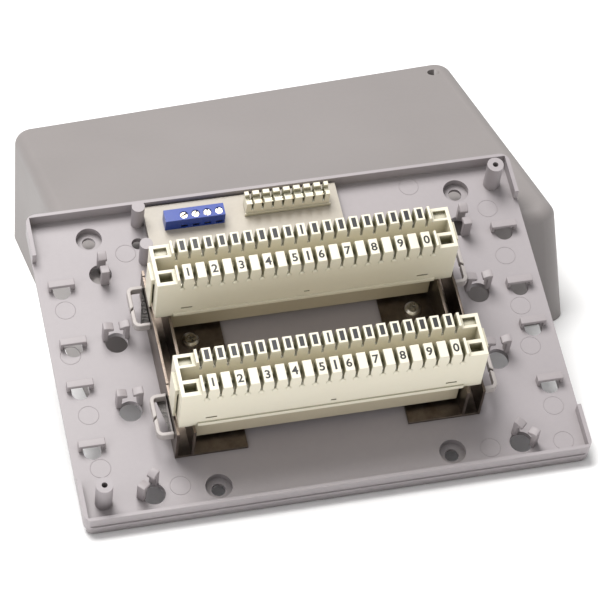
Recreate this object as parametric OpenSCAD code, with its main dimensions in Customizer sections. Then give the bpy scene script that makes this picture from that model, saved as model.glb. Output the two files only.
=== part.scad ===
// Twenty-pair wall distribution box, opened for wiring.
// The base lies tilted with its far end resting on the top edge of its own cover.
// Millimetres, +Z up, floor at z = 0. Origin: bottom centre of the bounding box.
// Base features are drawn flat in the base's own axes: u to the right, v away, w up
// from the wall face, and then placed by in_base(). Cover features use in_cover().

/* [Arrangement] */
// Sub-part to draw
// Tilt of the base on the cover's edge, degrees
lean = 27.53; // [20:0.01:35]
// Cover centre to the right of the base's centre line
cover_x = 13.59; // [0:0.01:30]
// Cover centre behind the base's near bottom edge
cover_y = 161.70; // [150:0.01:175]
// Turn of the cover seen from above, degrees
cover_yaw = 3.94; // [0:0.01:10]

/* [Base] */
// Overall width of the base
base_w = 191; // [170:0.5:210]
// Overall depth of the base
base_l = 133.2; // [120:0.1:150]
// Corner radius of the base
base_r = 3.8; // [2:0.1:8]
// Height of the hollow under the floor
base_under = 2.0; // [1:0.1:4]
// Height of the floor's top face
base_floor = 4.5; // [3:0.1:6]
// Height of the far rim
rim_far = 9.8; // [7:0.1:14]
// Height of the near rim
rim_near = 9.2; // [7:0.1:14]
// Wall of the rims
rim_t = 1.3; // [1:0.1:2.5]
// Diameter of the wall screw holes
wall_hole_d = 5.2; // [4:0.1:6.5]
// Diameter of their counterbores
wall_sink_d = 10; // [8:0.1:12]
// Depth of their counterbores
wall_sink_h = 3; // [2:0.1:3.5]
// Height of the two posts that take the cover screws
post_h = 18; // [14:0.5:24]
// Diameter of those posts
post_d = 6.4; // [5:0.1:9]
// Pilot hole in those posts
post_pilot_d = 2.2; // [1.8:0.1:3.2]
// Top height of the arched cable clips
clip_h = 13.5; // [11:0.1:16]
// Length of an arched cable clip
clip_l = 10; // [9:0.1:12]
// Depth of an arched cable clip
clip_d = 3.3; // [2.5:0.1:4]

/* [Cover] */
// Width of the cover at its open rim
cover_w = 195.8; // [180:0.1:215]
// Depth of the cover at its open rim
cover_l = 142.6; // [130:0.1:160]
// Height of the cover
cover_h = 49.9; // [40:0.1:60]
// Inward slope of each side wall over the full height
cover_draft = 2.7; // [1:0.1:4]
// Upright corner radius
cover_r = 7.7; // [5:0.1:12]
// Rounding of the top edge
cover_fillet = 5.6; // [3:0.1:8]
// Wall thickness of the cover
cover_t = 2.1; // [1.5:0.1:3]
// Diameter of the recess for a cover screw's head
cover_hole_d = 5.2; // [4.5:0.1:7]

/* [Connection strips] */
// Length of a ten-pair strip
strip_l = 113.6; // [105:0.1:125]
// Width of a ten-pair strip
strip_w = 17.6; // [15:0.1:22]
// Height of the strips' top faces
strip_top = 46; // [40:0.1:50]
// Height of the strips' lower face, where they sit on the brackets
strip_seat = 21.5; // [18:0.1:24]
// Distance from the base's near edge to the lower strip's centre
strip_v_low = 35.4; // [30:0.1:45]
// Distance from the base's near edge to the upper strip's centre
strip_v_up = 82.4; // [75:0.1:95]
// Distance between neighbouring wire slots
slot_pitch = 5; // [4:0.05:6]
// Wire slots in each row
slots = 20; // [8:2:24]
// Width of a wire slot
slot_w = 0.85; // [0.5:0.05:1]

/* [Terminal block] */
// Distance between neighbouring terminal screws
term_pitch = 4.55; // [3.5:0.05:5.5]
// Position of the first terminal screw
term_u = -36.1; // [-38:0.05:-34]
// Travel of a wire clamp
clamp_travel = 1.1; // [0.5:0.05:1.1]

/* [Board strip] */
// Distance between neighbouring slots of the small strip
small_pitch = 4; // [3:0.05:5]
// Slots of the small strip
small_slots = 8; // [4:1:10]

/* [Hidden] */
$fn = 48;
eps = 0.01;
// cover outline, used to bring the origin under the middle of the whole arrangement
cx1 = cover_x + (cover_w/2 - cover_r)*cos(cover_yaw) + (cover_l/2 - cover_r)*sin(cover_yaw) + cover_r;
cy1 = cover_y + (cover_l/2 - cover_r)*cos(cover_yaw) + (cover_w/2 - cover_r)*sin(cover_yaw) + cover_r;
ox = (cx1 - base_w/2)/2;
oy = (cy1 + 0.5*cos(lean) - rim_near*sin(lean))/2;
term_v = 122;
wall_holes = [[-72.5, 122.1], [72.5, 122.1], [-44.2, 9.5], [44.2, 9.5]];
cover_posts = [[-87, 9.7], [87, 123.2]];
board_posts = [[-53, 126.5], [-53, 109.6]];
// each clip: u, v, turn of its long axis, side on which its floor hole lies
clips = [[-70.2, 78, 0, -2.7], [70.2, 78, 0, -2.7], [-70.4, 49, 0, -3.5], [70.4, 49, 0, -3.5],
         [72, 10.7, -47, -2.1], [-70.3, 12.2, 45, -2.9], [-70, 105.9, 90, 0.9], [71.3, 105.9, 90, 1.5]];
bridges = [[-86.6, 102.3], [86.6, 102.3], [-86.5, 76.8], [86.5, 76.8],
           [-87.2, 58.4], [87.2, 58.4], [-87.3, 32.9], [87.3, 32.9]];
bracket_screws = [-43, 43];
bracket_screw_v = 71;

// ---- helpers ----
module in_base() translate([-ox, -oy, 0]) rotate([lean, 0, 0]) children();
module in_cover() translate([cover_x - ox, cover_y - oy, 0]) rotate([0, 0, cover_yaw]) children();
// box from one corner to the other
module bx(a, b) translate(a) cube(b - a);
module cyl(u, v, w0, w1, d) translate([u, v, w0]) cylinder(h = w1 - w0, d = d);
// rectangle with round corners, centred in x and starting at y = 0
module rrect(w, l, r) {
    translate([-w/2 + r, 0]) square([w - 2*r, l]);
    translate([-w/2, r]) square([w, l - 2*r]);
    for (x = [-w/2 + r, w/2 - r]) for (y = [r, l - r]) translate([x, y]) circle(r);
}
module outline_band(w0, w1, a, b)
    translate([0, 0, w0]) linear_extrude(w1 - w0) intersection() {
        rrect(base_w, base_l, base_r);
        translate(a) square(b - a);
    }

// ---- base ----
module floor_hole_clip(c) translate([c[0], c[1], -eps]) rotate([0, 0, c[2]]) translate([0, c[3], 0]) cylinder(h = 20, d = 8.6);
module floor_hole_bridge(b) {
    cyl(b[0], b[1] - 1.9, 0, 20, 6.6);
    bx([b[0] - 3.3, b[1] - 1.9, 0], [b[0] + 3.3, b[1] + 1.5, 20]);
}
module base_plate() {
    difference() {
        union() {
            translate([0, 0, base_under]) linear_extrude(base_floor - base_under) rrect(base_w, base_l, base_r);
            for (h = wall_holes) cyl(h[0], h[1], 0, base_under + 1, 13);
            for (s = bracket_screws) cyl(s, bracket_screw_v, 0.3, base_under + 1, 7.5);
        }
        for (h = wall_holes) {
            cyl(h[0], h[1], base_floor - wall_sink_h, 20, wall_sink_d);
            cyl(h[0], h[1], -1, 20, wall_hole_d);
        }
        for (s = bracket_screws) cyl(s, bracket_screw_v, -1, 20, 3.0);
        for (c = clips) floor_hole_clip(c);
        for (b = bridges) floor_hole_bridge(b);
        cyl(-54.3, 117.3, -1, 20, 5);
    }
}
module base() color([0.72, 0.69, 0.69]) in_base() union() {
    base_plate();
    // skirts that stand on the wall
    outline_band(0, base_under + 1, [-100, -1], [100, 1.5]);
    outline_band(0, base_under + 1, [-100, base_l - 1.5], [100, base_l + 1]);
    // near rim, set back half a millimetre, with its side returns
    outline_band(base_floor - 1, rim_near, [-100, 0.5], [100, 0.5 + rim_t]);
    outline_band(base_floor - 1, rim_near, [-100, 0.5], [-base_w/2 + 1.5, 19]);
    outline_band(base_floor - 1, rim_near, [base_w/2 - 1.5, 0.5], [100, 19]);
    // far rim and its side returns
    outline_band(base_floor - 1, rim_far, [-100, base_l - rim_t], [100, base_l + 1]);
    outline_band(base_floor - 1, rim_far, [-100, 115], [-base_w/2 + 1.5, base_l + 1]);
    outline_band(base_floor - 1, rim_far, [base_w/2 - 1.5, 115], [100, base_l + 1]);
    // posts for the cover screws
    for (p = cover_posts) difference() {
        cyl(p[0], p[1], base_under, post_h, post_d);
        cyl(p[0], p[1], post_h - 12, post_h + 1, post_pilot_d);
    }
    // posts and low pads that hold the circuit board
    for (p = board_posts) cyl(p[0], p[1], base_under, 16.4, 5);
    for (u = [-40, 20]) for (v = [109.5, 128]) cyl(u, v, base_floor - 1, 6.4, 4);
}

// half of an arch: a leg at one end and an arm that reaches inwards
module clip_half() rotate([90, 0, 0]) translate([0, 0, -clip_d/2]) linear_extrude(clip_d)
    polygon([[clip_l/2, base_under], [clip_l/2, clip_h], [3.2, clip_h], [1.1, clip_h - 0.8], [1.1, clip_h - 2.2],
             [clip_l/2 - 2, clip_h - 2.2], [clip_l/2 - 2, base_under]]);
// the legs stand on the floor; where the floor hole runs under them they go down to its lower face
module base_cable_clips() color([0.70, 0.67, 0.67]) in_base()
    for (c = clips) translate([c[0], c[1], 0]) rotate([0, 0, c[2]]) for (m = [0, 1]) mirror([m, 0, 0])
        translate([0, 0, base_floor]) difference() {
            translate([0, 0, -base_floor]) clip_half();
            bx([-10, -10, -20], [10, 10, 0]);
        }
module base_tie_bridges() color([0.70, 0.67, 0.67]) in_base()
    for (b = bridges) difference() {
        bx([b[0] - 5, b[1] - 1.5, base_floor], [b[0] + 5, b[1] + 1.5, 8.3]);
        bx([b[0] - 3.8, b[1] - 3, base_floor - 1], [b[0] + 3.8, b[1] + 3, 6.8]);
    }

// ---- cover ----
// round-topped box: inset from the outline by t, closed at height h
module cover_body(t, h, f, r) hull() {
    for (x = [-1, 1]) for (y = [-1, 1]) {
        translate([x*(cover_w/2 - t - r), y*(cover_l/2 - t - r), t > 0 ? -1 : 0]) cylinder(h = 0.2, r = r);
        translate([x*(cover_w/2 - cover_draft - t - r), y*(cover_l/2 - cover_draft - t - r), h - f])
            rotate_extrude() intersection() {
                translate([r - f, 0]) circle(f, $fn = 40);
                square([r + 1, f + 1]);
            }
    }
}
cover_bosses = [[85.9, 57.6], [-85.9, -57.6]];
module cover() color([0.73, 0.70, 0.70]) in_cover() difference() {
    union() {
        difference() {
            cover_body(0, cover_h, cover_fillet, cover_r);
            cover_body(cover_t, cover_h - cover_t, cover_fillet - cover_t, cover_r - cover_t);
        }
        for (b = cover_bosses) cyl(b[0], b[1], post_h, cover_h - cover_t + 0.5, 9);
    }
    for (b = cover_bosses) {
        cyl(b[0], b[1], post_h + 3, cover_h + 1, cover_hole_d);
        cyl(b[0], b[1], post_h - 1, cover_h + 1, 3.2);
    }
}

// ---- brackets ----
// right-hand bracket: a foot on the floor and two upright walls that carry the strip ends
module bracket() difference() {
    union() {
        bx([30.5, 23.3, base_floor], [58, 94.5, base_floor + 1.2]);
        bx([50.8, 23.3, base_floor + 0.5], [51.9, 94.5, 22]);
        bx([57, 23.3, base_floor + 0.5], [58, 94.5, 22]);
    }
    // seats for the strips
    for (v = [strip_v_low, strip_v_up]) {
        bx([50, v - strip_w/2 - 1, strip_seat], [56.9, v + strip_w/2 + 1, 30]);
        bx([56.8, v - strip_w/2 - 1, strip_seat], [60, v + strip_w/2 + 1, 30]);
    }
    // the foot is narrower beside the board
    bx([30, 80.5, 0], [50, 100, 10]);
    cyl(bracket_screws[1], bracket_screw_v, 0, 10, 3.6);
}
module bracket_left() color([0.35, 0.31, 0.27]) in_base() mirror([1, 0, 0]) bracket();
module bracket_right() color([0.35, 0.31, 0.27]) in_base() bracket();

module pan_screw(u, v, w) translate([u, v, w]) difference() {
    union() {
        cylinder(h = 1.2, d = 6.4);
        translate([0, 0, 1.2]) cylinder(h = 0.9, d1 = 6.4, d2 = 4.4);
        translate([0, 0, -5]) cylinder(h = 5.2, d = 2.9);
    }
    // cross recess
    for (a = [0, 90]) rotate([0, 0, a + 20]) bx([-1.5, -0.35, 1.0], [1.5, 0.35, 3]);
}
module bracket_screw_left() color([0.72, 0.70, 0.65]) in_base() pan_screw(bracket_screws[0], bracket_screw_v, base_floor + 1.2);
module bracket_screw_right() color([0.72, 0.70, 0.65]) in_base() pan_screw(bracket_screws[1], bracket_screw_v, base_floor + 1.2);

// ---- ten-pair strips ----
row_u = slots*slot_pitch/2;
// outline of one slotted layer in u and w: funnel mouths over narrow slots that end at height b
function comb(n, p, half, w0, top, mouth, throat, b, s) = concat(
    [[-half, w0], [-half, top]],
    [for (i = [0:n - 1]) let (u = (i - (n - 1)/2)*p)
        each [[u - mouth/2, top], [u - s/2, throat], [u - s/2, b], [u + s/2, b], [u + s/2, throat], [u + mouth/2, top]]],
    [[half, top], [half, w0]]);
module layer(v0, v1, b) translate([0, v1, 0]) rotate([90, 0, 0]) linear_extrude(v1 - v0)
    polygon(comb(slots, slot_pitch, 49.3, strip_seat, strip_top, 1.7, strip_top - 2, b, slot_w));
module strip_housing(vc) translate([0, vc, 0]) difference() {
    union() {
        layer(-8.8, -7.6, 40.4);
        layer(-7.6, -3.2, 33);
        layer(-3.2, -2.1, 40.7);
        bx([-49.3, -2.1, strip_seat], [49.3, 3.1, 34]);
        layer(3.1, 4.2, 40.7);
        layer(4.2, 7.7, 33);
        layer(7.7, 8.8, 40.4);
        // end blocks
        for (m = [0, 1]) mirror([m, 0, 0]) {
            bx([49.3, -8.8, strip_seat], [strip_l/2, 8.8, strip_top - 2.3]);
            // latch arm that hangs outside the block
            bx([strip_l/2 - 0.5, -4.2, 38], [58.2, 3.6, 41]);
            bx([57.3, -4.2, 22.3], [58.2, 3.6, 41]);
        }
        // lips along the foot of both long faces
        bx([-50, -9.3, strip_seat], [50, -8.7, 23.4]);
        bx([-50, 8.7, strip_seat], [50, 9.3, 23.4]);
    }
    for (m = [0, 1]) mirror([m, 0, 0]) {
        // pockets in the tops of the end blocks, one in line with each row and one with the channel
        bx([50.6, -7.2, 39], [55.4, -3.6, 50]);
        bx([50.6, 4.2, 42.2], [55.4, 7.4, 50]);
        bx([49.2, -2.1, 30], [55.4, 3.1, 50]);
    }
    // short slots low in the long faces
    for (s = [-1, 1]) {
        for (u = [-45, 45]) bx([u - 2.1, s*9 - 1, 25.6], [u + 2.1, s*9 + 1, 26.4]);
        bx([-0.4, s*9 - 1, 25.6], [1.6, s*9 + 1, 26.4]);
    }
}
module strip_shell(vc) translate([0, vc, 0]) difference() {
    union() {
        bx([-50, -6, 8], [50, 6, strip_seat]);
        for (i = [-4:4]) bx([i*11 - 1.5, -6.6, 16], [i*11 + 1.5, 6.6, 18]);
    }
    bx([-48.5, -4.5, 7], [48.5, 4.5, 20]);
}
// one forked contact in the foot of each slot
module contact_row(vc, v0, v1) for (i = [0:slots - 1]) {
    u = (i - (slots - 1)/2)*slot_pitch;
    bx([u - 0.3, vc + v0, 33], [u + 0.3, vc + v1, 39.5]);
}
module strip_upper_housing() color([0.93, 0.90, 0.82]) in_base() strip_housing(strip_v_up);
module strip_lower_housing() color([0.93, 0.90, 0.82]) in_base() strip_housing(strip_v_low);
module strip_upper_shell() color([0.78, 0.74, 0.64]) in_base() strip_shell(strip_v_up);
module strip_lower_shell() color([0.78, 0.74, 0.64]) in_base() strip_shell(strip_v_low);
module strip_upper_contacts_far() color([0.75, 0.73, 0.66]) in_base() contact_row(strip_v_up, 4.3, 7.6);
module strip_upper_contacts_near() color([0.75, 0.73, 0.66]) in_base() contact_row(strip_v_up, -7.5, -3.3);
module strip_lower_contacts_far() color([0.75, 0.73, 0.66]) in_base() contact_row(strip_v_low, 4.3, 7.6);
module strip_lower_contacts_near() color([0.75, 0.73, 0.66]) in_base() contact_row(strip_v_low, -7.5, -3.3);

// ---- wire loops at the strip ends ----
module loop2d(l, w, r) {
    translate([0, -l/2]) square([w - r, l]);
    translate([0, -l/2 + r]) square([w, l - 2*r]);
    for (y = [-l/2 + r, l/2 - r]) translate([w - r, y]) circle(r);
}
// split ring held by its straight side against the bracket
module wire_loop(vc) translate([58.01, vc, 13.5]) difference() {
    linear_extrude(3.5) loop2d(17.6, 6.4, 2.5);
    translate([-1, 0, -1]) linear_extrude(6) loop2d(14.6, 5.9, 1.2);
    // slanted split in the outer side
    translate([5.2, -0.6, -1]) rotate([0, 0, -35]) bx([-2, -0.35, 0], [3, 0.35, 6]);
}
module loop_plate(vc) bx([58.01, vc - 8.8, 13.5], [58.3, vc + 8.8, 17]);
module loop(vc) { wire_loop(vc); loop_plate(vc); }
module wire_loop_upper_left() color([0.78, 0.76, 0.72]) in_base() mirror([1, 0, 0]) loop(strip_v_up);
module wire_loop_upper_right() color([0.78, 0.76, 0.72]) in_base() loop(strip_v_up);
module wire_loop_lower_left() color([0.78, 0.76, 0.72]) in_base() mirror([1, 0, 0]) loop(strip_v_low);
module wire_loop_lower_right() color([0.78, 0.76, 0.72]) in_base() loop(strip_v_low);

// ---- circuit board and what is soldered to it ----
function term_at(i) = term_u + i*term_pitch;
small_u = 4.7;
module circuit_board() color([0.72, 0.69, 0.62]) in_base() difference() {
    bx([-50.3, 106, 6.4], [25.5, 131, 8]);
    for (i = [0:3]) bx([term_at(i) - 0.6, 123.3, 5], [term_at(i) + 0.6, 124.2, 9]);
    for (i = [0:small_slots - 1]) cyl(small_u + (i - 3.5)*small_pitch, 124.2, 5, 9, 1.0);
}
module terminal_housing() color([0.13, 0.24, 0.62]) in_base() difference() {
    union() {
        bx([-43.6, 119.4, 8], [-20.3, 124.7, 14]);
    }
    for (i = [0:3]) {
        u = term_at(i);
        cyl(u, 121.6, 12.7, 15, 3.2);
        cyl(u, 121.6, 11, 15, 2.3);
        bx([u - 1.65, 119.9, 7], [u + 1.65, 124.2, 12.3]);
        bx([u - 1.3, 119, 8.6], [u + 1.3, 120, 10.2]);
    }
}
module terminal_pins() color([0.72, 0.72, 0.70]) in_base() for (i = [0:3]) {
    u = term_at(i);
    bx([u - 0.9, 120, 9.9], [u + 0.9, 124.1, 10.35]);
    bx([u - 0.45, 123.45, 5.2], [u + 0.45, 124.05, 10.35]);
}
module terminal_screw(i) color([0.78, 0.77, 0.74]) in_base() translate([term_at(i), 121.6, 0]) difference() {
    union() {
        cyl(0, 0, 12.72, 13.6, 2.9);
        cyl(0, 0, 10.4, 12.8, 2.0);
    }
    rotate([0, 0, 30 + 25*i]) bx([-2, -0.25, 13.15], [2, 0.25, 14]);
}
module terminal_clamp(i) color([0.74, 0.72, 0.66]) in_base() translate([term_at(i), 121.6, 0]) difference() {
    bx([-1.5, -1.5, 8.2], [1.5, 1.5, 11.1]);
    bx([-1.05, -2, 8.6], [1.05, 2, 10.4]);
    cyl(0, 0, 10, 12, 2.1);
}
module terminal_screw_1() terminal_screw(0);
module terminal_screw_2() terminal_screw(1);
module terminal_screw_3() terminal_screw(2);
module terminal_screw_4() terminal_screw(3);
module terminal_clamp_1() terminal_clamp(0);
module terminal_clamp_2() terminal_clamp(1);
module terminal_clamp_3() terminal_clamp(2);
module terminal_clamp_4() terminal_clamp(3);

module small_layer(v0, v1, top, b) translate([small_u, v1, 0]) rotate([90, 0, 0]) linear_extrude(v1 - v0)
    polygon(comb(small_slots, small_pitch, 16.4, 8, top, 1.5, top - 1.6, b, 0.8));
module board_strip_housing() color([0.93, 0.90, 0.82]) in_base() {
    small_layer(121.4, 123.2, 15.6, 11.2);
    small_layer(123.2, 125.2, 14.4, 10);
    small_layer(125.2, 127, 16.2, 11.2);
    bx([small_u - 16.8, 120.9, 8], [small_u + 17, 121.4, 9.6]);
}
module board_strip_contacts() color([0.75, 0.73, 0.66]) in_base() for (i = [0:small_slots - 1]) {
    u = small_u + (i - 3.5)*small_pitch;
    bx([u - 0.35, 123.3, 10], [u + 0.35, 125.1, 12.6]);
}

base();
base_cable_clips();
base_tie_bridges();
cover();
bracket_left();
bracket_right();
bracket_screw_left();
bracket_screw_right();
strip_upper_housing();
strip_lower_housing();
strip_upper_shell();
strip_lower_shell();
strip_upper_contacts_far();
strip_upper_contacts_near();
strip_lower_contacts_far();
strip_lower_contacts_near();
wire_loop_upper_left();
wire_loop_upper_right();
wire_loop_lower_left();
wire_loop_lower_right();
circuit_board();
terminal_housing();
terminal_pins();
terminal_screw_1();
terminal_screw_2();
terminal_screw_3();
terminal_screw_4();
terminal_clamp_1();
terminal_clamp_2();
terminal_clamp_3();
terminal_clamp_4();
board_strip_housing();
board_strip_contacts();
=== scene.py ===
import math

import bmesh
import bpy
import numpy as np
from mathutils import Matrix, Vector


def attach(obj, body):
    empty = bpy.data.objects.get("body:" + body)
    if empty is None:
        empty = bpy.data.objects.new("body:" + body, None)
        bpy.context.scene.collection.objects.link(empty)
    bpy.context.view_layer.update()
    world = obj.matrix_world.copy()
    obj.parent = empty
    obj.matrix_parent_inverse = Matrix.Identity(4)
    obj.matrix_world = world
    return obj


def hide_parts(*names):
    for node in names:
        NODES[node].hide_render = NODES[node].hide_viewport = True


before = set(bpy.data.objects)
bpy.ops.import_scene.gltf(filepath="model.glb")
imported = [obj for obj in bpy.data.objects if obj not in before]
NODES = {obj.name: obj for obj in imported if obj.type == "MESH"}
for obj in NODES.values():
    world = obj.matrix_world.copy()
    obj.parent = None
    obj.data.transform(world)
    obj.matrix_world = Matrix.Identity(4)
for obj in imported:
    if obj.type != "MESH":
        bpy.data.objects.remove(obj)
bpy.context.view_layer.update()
SC = bpy.context.scene

# ---------------------------------------------------------------- places
# The same placing rules as part.scad: base features flat in u, v, w and tilted
# by LEAN; cover features in the cover's own axes. Everything here is in mm.
LEAN = math.radians(27.53)
COVER_X, COVER_Y, COVER_YAW = 13.59, 161.70, math.radians(3.94)
COVER_W, COVER_L, COVER_R = 195.8, 142.6, 7.7
BASE_W, BASE_L, FLOOR = 191.0, 133.2, 4.5
RIM_NEAR = 9.2
cx1 = COVER_X + (COVER_W / 2 - COVER_R) * math.cos(COVER_YAW) + (COVER_L / 2 - COVER_R) * math.sin(COVER_YAW) + COVER_R
cy1 = COVER_Y + (COVER_L / 2 - COVER_R) * math.cos(COVER_YAW) + (COVER_W / 2 - COVER_R) * math.sin(COVER_YAW) + COVER_R
OX = (cx1 - BASE_W / 2) / 2
OY = (cy1 + 0.5 * math.cos(LEAN) - RIM_NEAR * math.sin(LEAN)) / 2
MM = Matrix.Scale(0.001, 4)
IN_BASE = MM @ Matrix.Translation((-OX, -OY, 0)) @ Matrix.Rotation(LEAN, 4, "X")
IN_COVER = MM @ Matrix.Translation((COVER_X - OX, COVER_Y - OY, 0)) @ Matrix.Rotation(COVER_YAW, 4, "Z")
STRIPS = {"upper": 82.4, "lower": 35.4}
TOP, SEAT, PITCH = 46.0, 21.5, 5.0


# ---------------------------------------------------------------- materials
def new_mat(name):
    m = bpy.data.materials.new(name)
    m.use_nodes = True
    nt = m.node_tree
    return m, nt, nt.nodes["Principled BSDF"], nt.nodes["Material Output"]


def add(nt, kind, **props):
    n = nt.nodes.new(kind)
    for k, v in props.items():
        if k == "inputs":
            for i, val in v.items():
                n.inputs[i].default_value = val
        else:
            setattr(n, k, v)
    return n


def noise(nt, coord, scale, detail=3.0, rough=0.5):
    n = add(nt, "ShaderNodeTexNoise", inputs={"Scale": scale, "Detail": detail, "Roughness": rough})
    nt.links.new(coord.outputs["Object"], n.inputs["Vector"])
    return n


def ramp(nt, src, p0, c0, p1, c1):
    r = nt.nodes.new("ShaderNodeValToRGB")
    e = r.color_ramp.elements
    e[0].position, e[0].color = p0, c0
    e[1].position, e[1].color = p1, c1
    nt.links.new(src, r.inputs["Fac"])
    return r


def rgba(c, k=1.0):
    return (min(1.0, c[0] * k), min(1.0, c[1] * k), min(1.0, c[2] * k), 1.0)


def plastic(name, col, rough=0.42, vary=0.035, grain=0.035, mottle=60.0, spec=0.45, sss=0.0, recess_shade=0.0, edge=0.0):
    """Moulded plastic: slow tone drift from flow, fine mottling, satin grain and a rough/smooth drift, plus painted
    shade that darkens the colour in recesses, slots and corners through an ambient-occlusion mask.
    """
    m, nt, bsdf, out = new_mat(name)
    tc = add(nt, "ShaderNodeTexCoord")
    slow = noise(nt, tc, 22.0, 2.0)
    fine = noise(nt, tc, mottle * 8, 3.0, 0.6)
    mix = add(nt, "ShaderNodeMix", data_type="FLOAT", inputs={"Factor": 0.35})
    nt.links.new(slow.outputs["Fac"], mix.inputs["A"])
    nt.links.new(fine.outputs["Fac"], mix.inputs["B"])
    r = ramp(nt, mix.outputs["Result"], 0.32, rgba(col, 1 - vary), 0.68, rgba(col, 1 + vary))
    last = r.outputs["Color"]
    # painted shade: an ambient-occlusion mask darkens and warms the colour in recesses, slots and corners
    if recess_shade > 0:
        geo = add(nt, "ShaderNodeAmbientOcclusion", samples=6, inputs={"Distance": 0.004})
        recess_shade_ramp = ramp(nt, geo.outputs["AO"], 0.25, rgba(col, 1 - recess_shade), 0.9, (1, 1, 1, 1))
        recess_shade_ramp.color_ramp.elements[0].color = (1 - recess_shade, 1 - recess_shade, 1 - recess_shade * 1.1, 1)
        mul = add(nt, "ShaderNodeMix", data_type="RGBA", blend_type="MULTIPLY", inputs={"Factor": 1.0})
        nt.links.new(last, mul.inputs["A"])
        nt.links.new(recess_shade_ramp.outputs["Color"], mul.inputs["B"])
        last = mul.outputs["Result"]
    nt.links.new(last, bsdf.inputs["Base Color"])
    rr = ramp(nt, slow.outputs["Fac"], 0.3, (rough - 0.05,) * 3 + (1,), 0.7, (rough + 0.06,) * 3 + (1,))
    nt.links.new(rr.outputs["Color"], bsdf.inputs["Roughness"])
    g = noise(nt, tc, 2600.0, 2.0, 0.55)
    b = add(nt, "ShaderNodeBump", inputs={"Strength": grain, "Distance": 0.0002})
    nt.links.new(g.outputs["Fac"], b.inputs["Height"])
    nt.links.new(b.outputs["Normal"], bsdf.inputs["Normal"])
    bsdf.inputs["Specular IOR Level"].default_value = spec
    if sss > 0:
        bsdf.inputs["Subsurface Weight"].default_value = sss
        bsdf.inputs["Subsurface Radius"].default_value = (0.0012, 0.0009, 0.0006)
        bsdf.inputs["Subsurface Scale"].default_value = 1.0
    return m


def metal(name, col, rough=0.35, vary=0.12, brush=(40, 40, 1500), spec=0.5, tarnish=None, metallic=1.0):
    """Rolled or plated metal: stretched brushing, cloudy tarnish and small spots."""
    m, nt, bsdf, out = new_mat(name)
    tc = add(nt, "ShaderNodeTexCoord")
    mp = add(nt, "ShaderNodeMapping")
    mp.inputs["Scale"].default_value = brush
    nt.links.new(tc.outputs["Object"], mp.inputs["Vector"])
    st = add(nt, "ShaderNodeTexNoise", inputs={"Scale": 1.0, "Detail": 4.0, "Roughness": 0.6})
    nt.links.new(mp.outputs["Vector"], st.inputs["Vector"])
    cloud = noise(nt, tc, 160.0, 5.0, 0.65)
    dark = tarnish or [c * (1 - 2.5 * vary) for c in col]
    r = ramp(nt, cloud.outputs["Fac"], 0.35, rgba(dark), 0.62, rgba(col))
    nt.links.new(r.outputs["Color"], bsdf.inputs["Base Color"])
    mixr = add(nt, "ShaderNodeMix", data_type="FLOAT", inputs={"Factor": 0.5})
    nt.links.new(st.outputs["Fac"], mixr.inputs["A"])
    nt.links.new(cloud.outputs["Fac"], mixr.inputs["B"])
    rr = ramp(nt, mixr.outputs["Result"], 0.3, (max(0.05, rough - 0.1),) * 3 + (1,), 0.7, (rough + 0.14,) * 3 + (1,))
    nt.links.new(rr.outputs["Color"], bsdf.inputs["Roughness"])
    b = add(nt, "ShaderNodeBump", inputs={"Strength": 0.12, "Distance": 0.0001})
    nt.links.new(st.outputs["Fac"], b.inputs["Height"])
    nt.links.new(b.outputs["Normal"], bsdf.inputs["Normal"])
    bsdf.inputs["Metallic"].default_value = metallic
    bsdf.inputs["Specular IOR Level"].default_value = spec
    return m


GREY = (0.355, 0.325, 0.337)
# recess_shade sets how strongly each plastic is darkened by painted shade in its recesses; on the ivory strips it
# paints the deep slots dark
M = {
    "base": plastic("m_base_plastic", GREY, rough=0.46, vary=0.03, grain=0.05, recess_shade=0.22),
    "clip": plastic("m_clip_plastic", (0.345, 0.313, 0.322), rough=0.44, vary=0.03, grain=0.05, recess_shade=0.2),
    "cover": plastic("m_cover_plastic", (0.262, 0.241, 0.236), rough=0.5, vary=0.025, grain=0.09, recess_shade=0.1),
    "ivory": plastic("m_strip_plastic", (0.80, 0.755, 0.62), rough=0.33, vary=0.02, grain=0.03, spec=0.5, sss=0.04, recess_shade=0.82),
    "shell": plastic("m_shell_plastic", (0.52, 0.46, 0.34), rough=0.42, vary=0.05, grain=0.05, recess_shade=0.3),
    "loop": plastic("m_loop_plastic", (0.43, 0.395, 0.38), rough=0.4, vary=0.03, grain=0.05, recess_shade=0.2),
    "blue": plastic("m_terminal_plastic", (0.010, 0.042, 0.29), rough=0.32, vary=0.10, grain=0.05, spec=0.5),
    "board": plastic("m_board_laminate", (0.46, 0.42, 0.36), rough=0.38, vary=0.06, grain=0.03, mottle=90, recess_shade=0.1),
    "steel": metal("m_bracket_steel", (0.20, 0.165, 0.14), rough=0.36, tarnish=(0.13, 0.105, 0.085)),
    "screw": metal("m_screw_steel", (0.62, 0.60, 0.55), rough=0.28, tarnish=(0.35, 0.32, 0.27)),
    "tscrew": metal("m_terminal_screw_steel", (0.74, 0.72, 0.68), rough=0.25, tarnish=(0.45, 0.40, 0.33)),
    "contact": metal("m_contact_metal", (0.66, 0.62, 0.52), rough=0.3, tarnish=(0.35, 0.28, 0.18)),
    "clamp": metal("m_clamp_metal", (0.62, 0.58, 0.48), rough=0.34, tarnish=(0.35, 0.29, 0.2)),
    "pin": metal("m_pin_metal", (0.66, 0.66, 0.64), rough=0.36, tarnish=(0.4, 0.4, 0.38)),
    "ink": plastic("m_print_ink", (0.012, 0.012, 0.014), rough=0.38, vary=0.25, grain=0.02),
}


# ---------------------------------------------------------------- mesh helpers
def link(o):
    SC.collection.objects.link(o)
    return o


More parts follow.
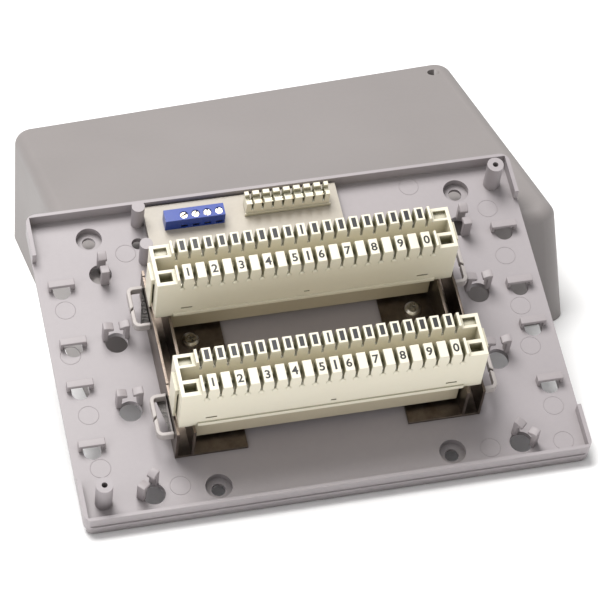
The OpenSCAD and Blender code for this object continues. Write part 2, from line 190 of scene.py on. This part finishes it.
def finish_mesh(o, mat, body="box", sharp=40.0, weighted=True):
    me = o.data
    me.materials.clear()
    me.materials.append(mat)
    for p in me.polygons:
        p.use_smooth = True
        p.material_index = 0
    me.set_sharp_from_angle(angle=math.radians(sharp))
    if weighted:
        wn = o.modifiers.new("weighted", "WEIGHTED_NORMAL")
        wn.keep_sharp = True
    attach(o, body)
    return o


def bevel_bm(bm, width, segs, angle, pred=None, profile=0.5):
    es = []
    for e in bm.edges:
        if len(e.link_faces) != 2:
            continue
        a = e.calc_face_angle(0.0)
        if a > math.radians(angle) and (pred is None or pred(e)):
            es.append(e)
    if es:
        bmesh.ops.bevel(bm, geom=es, offset=width, offset_type="OFFSET", segments=segs, profile=profile,
                        affect="EDGES", clamp_overlap=True, material=-1, loop_slide=True)


def clean_bm(bm, dist=2e-6, dissolve=True):
    bmesh.ops.remove_doubles(bm, verts=bm.verts, dist=dist)
    if dissolve:
        bmesh.ops.dissolve_limit(bm, angle_limit=math.radians(0.6), verts=bm.verts, edges=bm.edges, delimit=set())
    bmesh.ops.recalc_face_normals(bm, faces=bm.faces)


def from_cad(node, name, mat, width=0.25, segs=2, angle=32.0, body="box", hide=True, sharp=40.0):
    """A softened copy of a CAD node: same size, edges broken with small rounds as a mould leaves them."""
    me = NODES[node].data.copy()
    me.name = name
    bm = bmesh.new()
    bm.from_mesh(me)
    clean_bm(bm)
    if width > 0:
        bevel_bm(bm, width * 0.001, segs, angle)
    bm.to_mesh(me)
    bm.free()
    o = link(bpy.data.objects.new(name, me))
    finish_mesh(o, mat, body, sharp)
    if hide:
        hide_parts(node)
    return o


class Build:
    """Collects simple solids in millimetres in one local frame and turns them into one mesh."""

    def __init__(self):
        self.bm = bmesh.new()

    def box(self, a, b, bevel=0.0, segs=2):
        bm = bmesh.new()
        bmesh.ops.create_cube(bm, size=1.0)
        for v in bm.verts:
            v.co = Vector([(a[i] + b[i]) / 2 + v.co[i] * (b[i] - a[i]) for i in range(3)])
        if bevel > 0:
            bevel_bm(bm, bevel, segs, 20)
        self.merge(bm)

    def cyl(self, c, r, h, axis="Z", n=28, bevel=0.0, segs=2, r2=None):
        bm = bmesh.new()
        bmesh.ops.create_cone(bm, cap_ends=True, segments=n, radius1=r, radius2=r if r2 is None else r2, depth=h)
        rot = {"Z": Matrix.Identity(4), "Y": Matrix.Rotation(math.radians(-90), 4, "X"), "X": Matrix.Rotation(math.radians(90), 4, "Y")}[axis]
        bm.transform(Matrix.Translation(c) @ rot @ Matrix.Translation((0, 0, h / 2)))
        if bevel > 0:
            bevel_bm(bm, bevel, segs, 50)
        self.merge(bm)

    def prism(self, pts, a, b, plane="UW", bevel=0.0, segs=2):
        """Polygon pts extruded from a to b along the axis that plane leaves out."""
        bm = bmesh.new()
        put = {"UW": lambda p, t: (p[0], t, p[1]), "UV": lambda p, t: (p[0], p[1], t), "VW": lambda p, t: (t, p[0], p[1])}[plane]
        lo = [bm.verts.new(put(p, a)) for p in pts]
        hi = [bm.verts.new(put(p, b)) for p in pts]
        bm.faces.new(lo)
        bm.faces.new(list(reversed(hi)))
        n = len(pts)
        for i in range(n):
            j = (i + 1) % n
            bm.faces.new([lo[j], lo[i], hi[i], hi[j]])
        bmesh.ops.recalc_face_normals(bm, faces=bm.faces)
        if bevel > 0:
            bevel_bm(bm, bevel, segs, 25)
        self.merge(bm)

    def ring(self, c, r, half, h, n=64):
        """Low round ridge of triangular section."""
        bm = bmesh.new()
        loops = []
        for rr, z in ((r - half, 0.0), (r, h), (r + half, 0.0)):
            loops.append([bm.verts.new((c[0] + rr * math.cos(2 * math.pi * k / n), c[1] + rr * math.sin(2 * math.pi * k / n), c[2] + z)) for k in range(n)])
        for a, b in ((0, 1), (1, 2), (2, 0)):
            for k in range(n):
                j = (k + 1) % n
                bm.faces.new([loops[a][k], loops[a][j], loops[b][j], loops[b][k]])
        self.merge(bm)

    def sphere(self, c, r, scale=(1, 1, 1), u=20, v=12):
        bm = bmesh.new()
        bmesh.ops.create_uvsphere(bm, u_segments=u, v_segments=v, radius=r)
        bm.transform(Matrix.Translation(c) @ Matrix.Diagonal((*scale, 1)))
        self.merge(bm)

    def merge(self, bm):
        me = bpy.data.meshes.new("t")
        bm.to_mesh(me)
        bm.free()
        self.bm.from_mesh(me)
        bpy.data.meshes.remove(me)

    def done(self, name, where, mat, body="box", sharp=40.0, replaces=()):
        me = bpy.data.meshes.new(name)
        self.bm.transform(where)
        bmesh.ops.recalc_face_normals(self.bm, faces=self.bm.faces)
        self.bm.to_mesh(me)
        self.bm.free()
        o = link(bpy.data.objects.new(name, me))
        finish_mesh(o, mat, body, sharp)
        if replaces:
            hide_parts(*replaces)
        return o


# ---------------------------------------------------------------- base and cover
from_cad("base", "base_tray", M["base"], width=0.45, segs=3)
from_cad("base_cable_clips", "cable_clips", M["clip"], width=0.35, segs=2)
from_cad("base_tie_bridges", "tie_bridges", M["clip"], width=0.3, segs=2)
from_cad("cover", "cover_shell", M["cover"], width=0.0, sharp=34)

# round ejector marks on the floor of the base
g = Build()
for u, v in [(-59.8, 113.7), (-86.7, 92.3), (-88.2, 72.6), (-86, 46.3), (-85.6, 23.7), (-58.1, 12), (54.6, 126.9),
             (82.9, 112.2), (84.6, 90), (84.9, 67.1), (84.3, 49.2), (86.4, 22.4), (86.4, 7.2), (58.5, 8.8)]:
    g.ring((u, v, FLOOR - 0.05), 3.8, 0.16, 0.17)
g.done("ejector_marks", IN_BASE, M["base"])

# ---------------------------------------------------------------- brackets
for side in ("left", "right"):
    from_cad("bracket_" + side, "bracket_%s_plate" % side, M["steel"], width=0.15, segs=2)
    from_cad("bracket_screw_" + side, "bracket_screw_%s_head" % side, M["screw"], width=0.12, segs=2)

# ---------------------------------------------------------------- strips
FONT_CACHE = {}


def glyph(ch, height):
    """Outline of a numeral as a flat mesh, height in mm, centred on the origin."""
    cu = bpy.data.curves.new("digit_" + ch, "FONT")
    cu.body = ch
    cu.align_x, cu.align_y = "CENTER", "CENTER"
    cu.size = 1.0
    cu.resolution_u = 6
    cu.offset = 0.022
    o = link(bpy.data.objects.new("digit_" + ch, cu))
    bpy.context.view_layer.update()
    me = bpy.data.meshes.new_from_object(o.evaluated_get(bpy.context.evaluated_depsgraph_get()))
    bpy.data.objects.remove(o)
    bpy.data.curves.remove(cu)
    co = np.array([v.co for v in me.vertices])
    lo, hi = co.min(0), co.max(0)
    k = height / (hi[1] - lo[1])
    mid = (lo + hi) / 2
    for v in me.vertices:
        v.co = ((v.co[0] - mid[0]) * k, (v.co[1] - mid[1]) * k, 0)
    return me


for key, vc in STRIPS.items():
    hs = "strip_%s_housing" % key
    from_cad(hs, hs + "_body", M["ivory"], width=0.22, segs=2, angle=25)
    from_cad("strip_%s_shell" % key, "strip_%s_underpart" % key, M["shell"], width=0.3, segs=2)
    # printed marks: bars on the far row, numerals on the near row
    g = Build()
    for i in range(19):
        u = -45 + 5 * i
        w = 0.4 if i == 9 else 0.85
        g.box((u - w, vc + 3.9, TOP - 0.02), (u + w, vc + 8.0, TOP + 0.03))
    g.box((-0.4, vc - 7.6, TOP - 0.02), (0.4, vc - 3.6, TOP + 0.03))
    for k in range(10):
        post = 2 * k if k < 5 else 2 * k + 0
        i = [0, 2, 4, 6, 8, 10, 12, 14, 16, 18][k]
        me = glyph("1234567890"[k], 3.5)
        bm = bmesh.new()
        bm.from_mesh(me)
        bm.transform(Matrix.Translation((-45 + 5 * i, vc - 5.6, TOP + 0.03)))
        ext = bmesh.ops.extrude_face_region(bm, geom=bm.faces[:])
        for v in [e for e in ext["geom"] if isinstance(e, bmesh.types.BMVert)]:
            v.co.z -= 0.05
        g.merge(bm)
        bpy.data.meshes.remove(me)
    g.done("strip_%s_print" % key, IN_BASE, M["ink"])
    # small round pads under the slots of the long faces
    g = Build()
    for i in range(20):
        u = -47.5 + 5 * i
        for s in (-1, 1):
            g.sphere((u, vc + s * 8.75, 39.5), 1.05, (1, 0.6, 1))
    g.done("strip_%s_slot_pads" % key, IN_BASE, M["ivory"])
    for row in ("far", "near"):
        n = NODES["strip_%s_contacts_%s" % (key, row)]
        n.data.materials.clear()
        n.data.materials.append(M["contact"])

for n in ("upper_left", "upper_right", "lower_left", "lower_right"):
    from_cad("wire_loop_" + n, "wire_loop_%s_ring" % n, M["loop"], width=0.35, segs=3)

# ---------------------------------------------------------------- circuit board
from_cad("circuit_board", "circuit_board_laminate", M["board"], width=0.08, segs=1)
from_cad("terminal_housing", "terminal_block_housing", M["blue"], width=0.15, segs=2)
from_cad("board_strip_housing", "board_strip_body", M["ivory"], width=0.25, segs=2)
for i in range(1, 5):
    from_cad("terminal_screw_%d" % i, "terminal_screw_%d_head" % i, M["tscrew"], width=0.08, segs=2, body="screw_%d" % i)
    from_cad("terminal_clamp_%d" % i, "terminal_clamp_%d_cage" % i, M["clamp"], width=0.08, segs=1, body="clamp_%d" % i)
for n, m in (("terminal_pins", "pin"), ("board_strip_contacts", "contact")):
    NODES[n].data.materials.clear()
    NODES[n].data.materials.append(M[m])

# ---------------------------------------------------------------- floor, light, camera
fm, nt, bsdf, out = new_mat("m_floor")
tc = add(nt, "ShaderNodeTexCoord")
nz = noise(nt, tc, 3.0, 3.0)
fr = ramp(nt, nz.outputs["Fac"], 0.3, (0.97, 0.97, 0.97, 1), 0.7, (0.985, 0.985, 0.985, 1))
nt.links.new(fr.outputs["Color"], bsdf.inputs["Base Color"])
bsdf.inputs["Roughness"].default_value = 0.8
me = bpy.data.meshes.new("studio_floor")
R = 6.0
me.from_pydata([(-R, -R, 0), (R, -R, 0), (R, R, 0), (-R, R, 0)], [], [(0, 1, 2, 3)])
me.materials.append(fm)
floor = link(bpy.data.objects.new("studio_floor", me))
floor.location.z = -0.0002

world = bpy.data.worlds.new("studio")
SC.world = world
world.use_nodes = True
bg = world.node_tree.nodes["Background"]
bg.inputs["Color"].default_value = (1.0, 1.0, 1.0, 1)
bg.inputs["Strength"].default_value = 0.45


def area(name, loc, target, size, power, color=(1, 1, 1), size_y=None):
    d = bpy.data.lights.new(name, "AREA")
    d.shape = "RECTANGLE"
    d.size, d.size_y = size, size_y or size
    d.energy = power
    d.color = color
    o = link(bpy.data.objects.new(name, d))
    o.location = loc
    o.rotation_euler = (Vector(target) - Vector(loc)).to_track_quat("-Z", "Y").to_euler()
    return o


area("key_top", (-0.25, 0.08, 1.35), (0, 0, 0), 0.75, 22.0, (1.0, 0.99, 0.975))
area("fill_left", (-1.2, -0.9, 0.8), (0, 0, 0.02), 0.8, 3.0, (1.0, 0.99, 0.98))

AZ, EL, ROLL, DIST, F = math.radians(12.17), math.radians(31.48), math.radians(-1.43), 1231.67, 3132.0
fwd = Vector((math.sin(AZ) * math.cos(EL), math.cos(AZ) * math.cos(EL), -math.sin(EL)))
right = Vector((math.cos(AZ), -math.sin(AZ), 0))
up = right.cross(fwd)
r2 = right * math.cos(ROLL) + up * math.sin(ROLL)
u2 = up * math.cos(ROLL) - right * math.sin(ROLL)
aim = Vector((9.48 - OX, 106.96 - OY, 20.0))
pos = (aim - fwd * DIST) * 0.001
cam_d = bpy.data.cameras.new("camera")
cam_d.sensor_width = 36.0
cam_d.lens = F * 36.0 / 600.0
cam_d.clip_start, cam_d.clip_end = 0.05, 50.0
cam = link(bpy.data.objects.new("camera", cam_d))
rot = Matrix((r2, u2, -fwd)).transposed().to_4x4()
cam.matrix_world = Matrix.Translation(pos) @ rot
SC.camera = cam
SC.view_settings.view_transform = "Standard"
SC.view_settings.look = "None"
